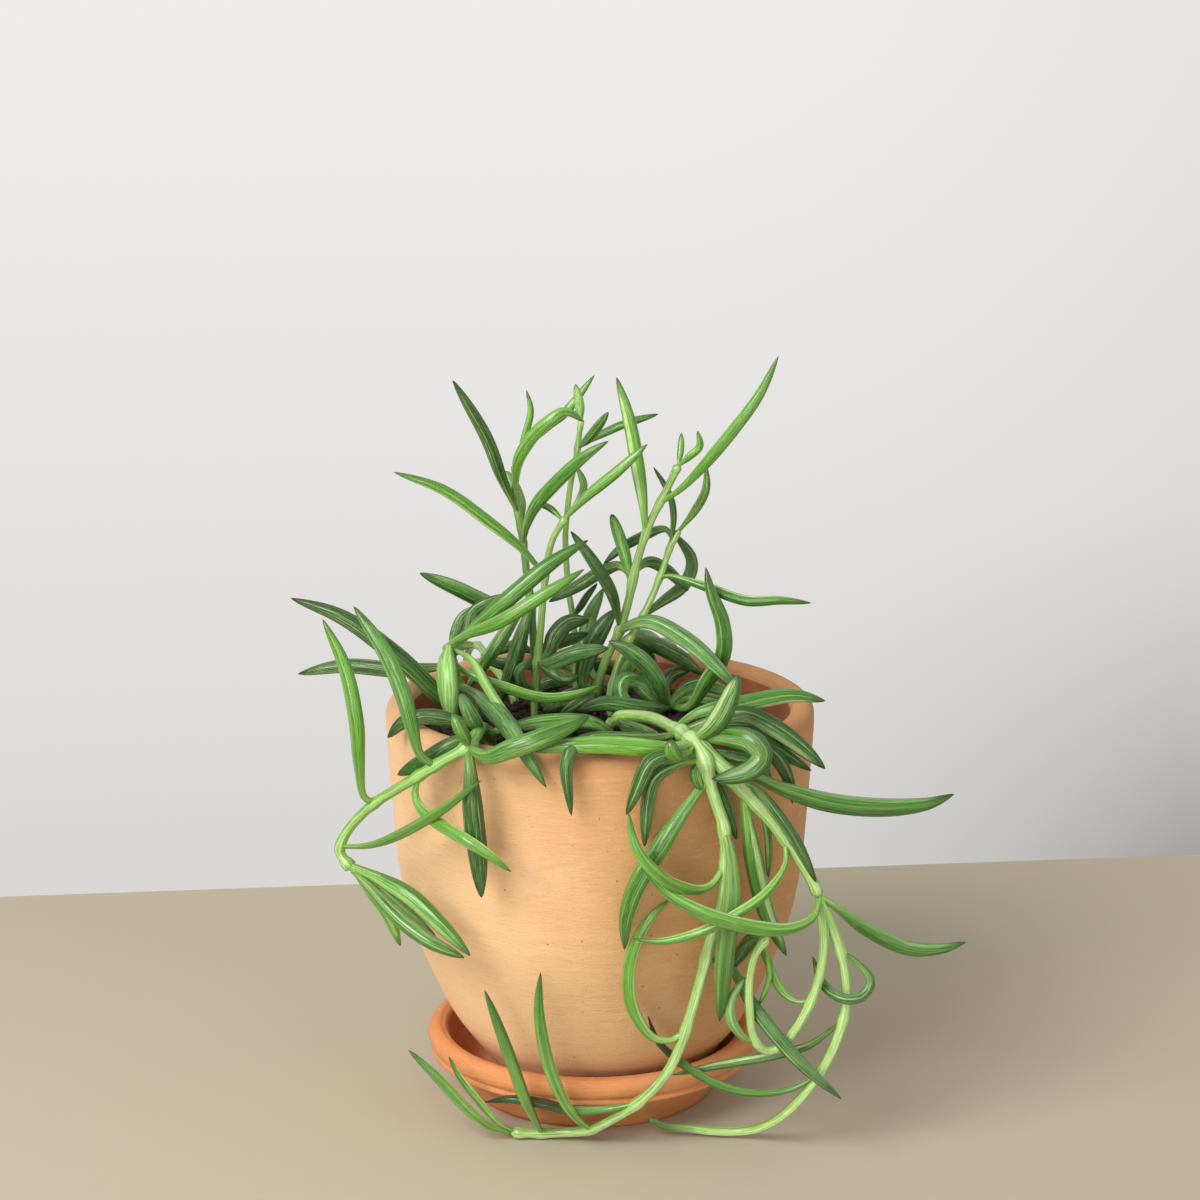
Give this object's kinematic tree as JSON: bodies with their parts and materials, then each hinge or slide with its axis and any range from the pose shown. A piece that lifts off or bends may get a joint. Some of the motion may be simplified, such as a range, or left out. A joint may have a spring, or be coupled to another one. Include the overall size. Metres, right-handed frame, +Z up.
{
  "type": "potted trailing succulent",
  "caption": "Fish hooks senecio with fleshy curved leaves on upright and trailing stems, in a terracotta pot with a saucer.",
  "frame": {"origin": "on the pot's axis, on the surface that the saucer stands on", "axes": "+Z up along the pot's axis, -Y towards the viewer of the picture, +X to the viewer's right"},
  "size_m": [0.1914, 0.152, 0.2189],
  "materials": {
    "terracotta_red": "matte",
    "terracotta_pale": "matte",
    "soil": "matte",
    "leaf_green": "satin",
    "leaf_pale": "satin",
    "leaf_dark": "satin"
  },
  "bodies": {
    "root": {"saucer": "terracotta_red", "pot": "terracotta_pale", "soil": "soil", "stem_left_tall": "leaf_green", "stem_left_front": "leaf_pale", "stem_thin": "leaf_pale", "stem_centre_tall": "leaf_green", "stem_right_tall": "leaf_green", "stem_low_right": "leaf_dark", "stem_front_trailing": "leaf_pale", "stem_left_trailing": "leaf_green", "stem_left_bent": "leaf_pale", "stem_back_left": "leaf_dark", "stem_back_right": "leaf_dark"}
  },
  "joints": []
}
